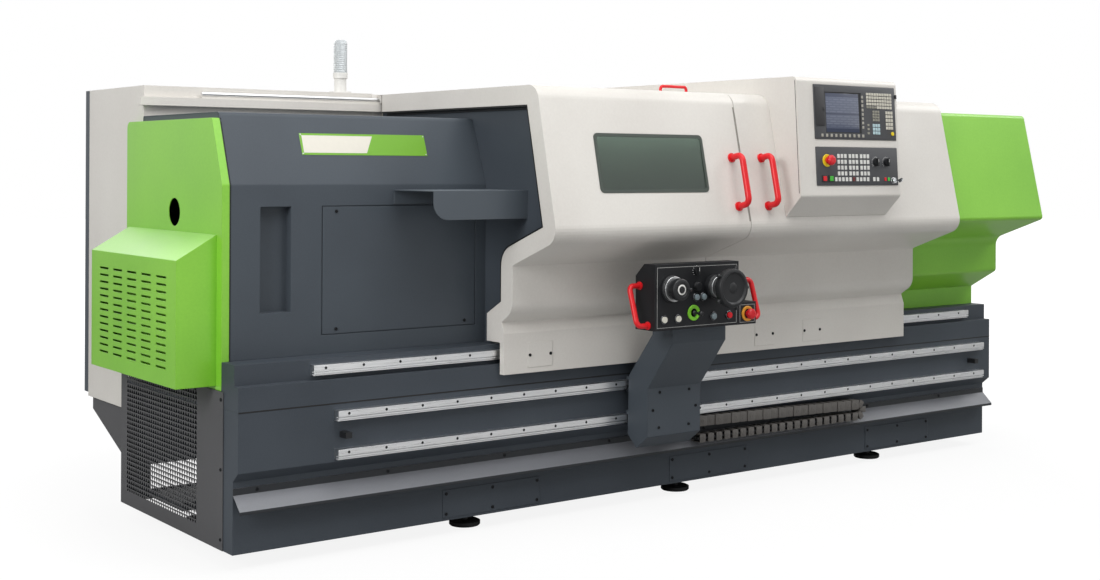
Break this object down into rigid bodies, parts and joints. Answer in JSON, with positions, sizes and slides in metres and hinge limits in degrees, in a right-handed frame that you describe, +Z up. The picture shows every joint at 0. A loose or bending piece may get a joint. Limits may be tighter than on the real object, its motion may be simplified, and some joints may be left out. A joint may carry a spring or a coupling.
{
  "type": "cnc turning lathe",
  "caption": "Flat-bed CNC turning lathe with sliding doors, control box on the right door, railed operator pendant, rear electrical cabinet and a chuck, saddle and tailstock inside.",
  "frame": {"origin": "floor level under the middle of the machine's bounding box", "axes": "+X from the headstock to the tailstock end, +Y from the operator to the back, +Z up"},
  "size_m": [4.021, 1.976, 1.833],
  "materials": {
    "base_paint": "satin dark grey paint",
    "dark_paint": "satin slate grey paint",
    "cream_paint": "satin cream paint",
    "green_paint": "satin light green paint",
    "steel": "ground steel",
    "machined": "machined steel",
    "casting": "painted casting",
    "red": "glossy red",
    "black": "matt black",
    "panel": "matt grey panel",
    "chain": "matt black nylon",
    "pads": "black rubber",
    "seal": "black rubber",
    "window": "clear tinted",
    "lamp": "translucent white",
    "white": "glossy white",
    "drives": "light grey"
  },
  "bodies": {
    "machine": {"base_frame": "base_paint", "bed_casting": "casting", "door_beam": "base_paint", "door_guides": "steel", "pendant_rails": "steel", "carriage_stops": "black", "chain_sill": "dark_paint", "access_plates": "base_paint", "levelling_feet": "pads", "headstock_casting": "casting", "headstock_cover": "dark_paint", "service_panel": "dark_paint", "bulkhead": "base_paint", "tool_shelf": "dark_paint", "end_cover": "green_paint", "vent_box": "green_paint", "mesh_guard": "base_paint", "cabinet_shell": "cream_paint", "cabinet_bracket": "base_paint", "drive_modules": "drives", "signal_tower": "white", "signal_lamp": "lamp", "top_beam": "cream_paint", "rear_guard": "cream_paint", "tail_cover": "green_paint", "energy_chain": "chain"},
    "left_door": {"left_door": "cream_paint", "left_window": "window", "left_seals": "seal", "left_handle": "red", "roof_handle": "red"},
    "right_door": {"right_door": "cream_paint", "right_handle": "red", "control_box": "cream_paint", "display_panel": "panel", "control_panel": "panel"},
    "panel_stop": {"panel_stop": "red"},
    "spindle_override": {"spindle_override": "black"},
    "feed_override": {"feed_override": "black"},
    "pendant": {"pendant_carriage": "dark_paint", "pendant_box": "black", "pendant_handles": "red"},
    "left_handwheel": {"left_handwheel": "black"},
    "right_handwheel": {"right_handwheel": "black"},
    "joystick": {"joystick": "black"},
    "mode_dial": {"mode_dial": "black"},
    "start_button": {"start_button": "white"},
    "stop_button": {"stop_button": "red"},
    "pendant_stop": {"pendant_stop": "red"},
    "spindle": {"spindle": "machined", "chuck_body": "machined"},
    "jaw_1": {"jaw_1": "machined"},
    "jaw_2": {"jaw_2": "machined"},
    "jaw_3": {"jaw_3": "machined"},
    "saddle": {"saddle": "casting"},
    "cross_slide": {"cross_slide": "casting"},
    "tool_post": {"tool_post": "machined"},
    "tailstock": {"tailstock": "casting"},
    "quill": {"quill": "steel"},
    "cabinet_door": {"cabinet_door": "dark_paint"}
  },
  "joints": [
    {"name": "left_door_slide", "type": "slide", "parent": "machine", "child": "left_door", "axis": [-1, 0, 0], "range_m": [0, 0.7]},
    {"name": "right_door_slide", "type": "slide", "parent": "machine", "child": "right_door", "axis": [1, 0, 0], "range_m": [0, 0.48]},
    {"name": "pendant_slide", "type": "slide", "parent": "machine", "child": "pendant", "axis": [1, 0, 0], "range_m": [-1.2, 1.83], "deforming": ["energy_chain"]},
    {"name": "cabinet_door_hinge", "type": "hinge", "parent": "machine", "child": "cabinet_door", "pos_m": [-0.8615, 0.937, 1], "axis": [0, 0, -1], "range_deg": [0, 110]},
    {"name": "spindle_spin", "type": "hinge", "parent": "machine", "child": "spindle", "pos_m": [-0.7795, 0.008, 1.156], "axis": [1, 0, 0], "continuous": true},
    {"name": "jaw_1_slide", "type": "slide", "parent": "spindle", "child": "jaw_1", "axis": [0, 0, 1], "range_m": [-0.025, 0.04]},
    {"name": "jaw_2_slide", "type": "slide", "parent": "spindle", "child": "jaw_2", "axis": [0, -0.866, -0.5], "range_m": [-0.025, 0.04]},
    {"name": "jaw_3_slide", "type": "slide", "parent": "spindle", "child": "jaw_3", "axis": [0, 0.866, -0.5], "range_m": [-0.025, 0.04]},
    {"name": "saddle_slide", "type": "slide", "parent": "machine", "child": "saddle", "axis": [1, 0, 0], "range_m": [-0.4, 0.6]},
    {"name": "cross_slide_move", "type": "slide", "parent": "saddle", "child": "cross_slide", "axis": [0, 1, 0], "range_m": [-0.12, 0.1]},
    {"name": "tool_post_index", "type": "hinge", "parent": "cross_slide", "child": "tool_post", "pos_m": [0.1055, -0.089, 0.96], "axis": [0, 0, 1], "continuous": true},
    {"name": "tailstock_slide", "type": "slide", "parent": "machine", "child": "tailstock", "axis": [1, 0, 0], "range_m": [-0.15, 0.15]},
    {"name": "quill_slide", "type": "slide", "parent": "tailstock", "child": "quill", "axis": [-1, 0, 0], "range_m": [0, 0.15]},
    {"name": "left_handwheel_turn", "type": "hinge", "parent": "pendant", "child": "left_handwheel", "pos_m": [-0.3345, -0.874, 0.878], "axis": [0, -1, 0], "continuous": true},
    {"name": "right_handwheel_turn", "type": "hinge", "parent": "pendant", "child": "right_handwheel", "pos_m": [-0.1255, -0.874, 0.878], "axis": [0, -1, 0], "continuous": true},
    {"name": "joystick_tilt", "type": "hinge", "parent": "pendant", "child": "joystick", "pos_m": [-0.2245, -0.861, 0.785], "axis": [1, 0, 0], "range_deg": [-20, 20], "stiffness_Nm_per_rad": 0.6},
    {"name": "mode_dial_turn", "type": "hinge", "parent": "pendant", "child": "mode_dial", "pos_m": [-0.2095, -0.874, 0.939], "axis": [0, -1, 0], "range_deg": [-120, 120]},
    {"name": "start_button_press", "type": "slide", "parent": "pendant", "child": "start_button", "axis": [0, 1, 0], "range_m": [0, 0.0035], "stiffness_N_per_m": 300},
    {"name": "stop_button_press", "type": "slide", "parent": "pendant", "child": "stop_button", "axis": [0, 1, 0], "range_m": [0, 0.0035], "stiffness_N_per_m": 300},
    {"name": "pendant_stop_press", "type": "slide", "parent": "pendant", "child": "pendant_stop", "axis": [0, 1, 0], "range_m": [0, 0.006], "stiffness_N_per_m": 400},
    {"name": "panel_stop_press", "type": "slide", "parent": "right_door", "child": "panel_stop", "axis": [0, 0.9979, -0.0641], "range_m": [0, 0.006], "stiffness_N_per_m": 400},
    {"name": "spindle_override_turn", "type": "hinge", "parent": "right_door", "child": "spindle_override", "pos_m": [0.7165, -0.92033, 1.34397], "axis": [0, -0.9979, 0.0641], "range_deg": [-130, 130]},
    {"name": "feed_override_turn", "type": "hinge", "parent": "right_door", "child": "feed_override", "pos_m": [0.7805, -0.92033, 1.34397], "axis": [0, -0.9979, 0.0641], "range_deg": [-130, 130]}
  ],
  "couplings": [
    {"joint": "jaw_2_slide", "follows": "jaw_1_slide", "ratio": 1},
    {"joint": "jaw_3_slide", "follows": "jaw_1_slide", "ratio": 1}
  ]
}
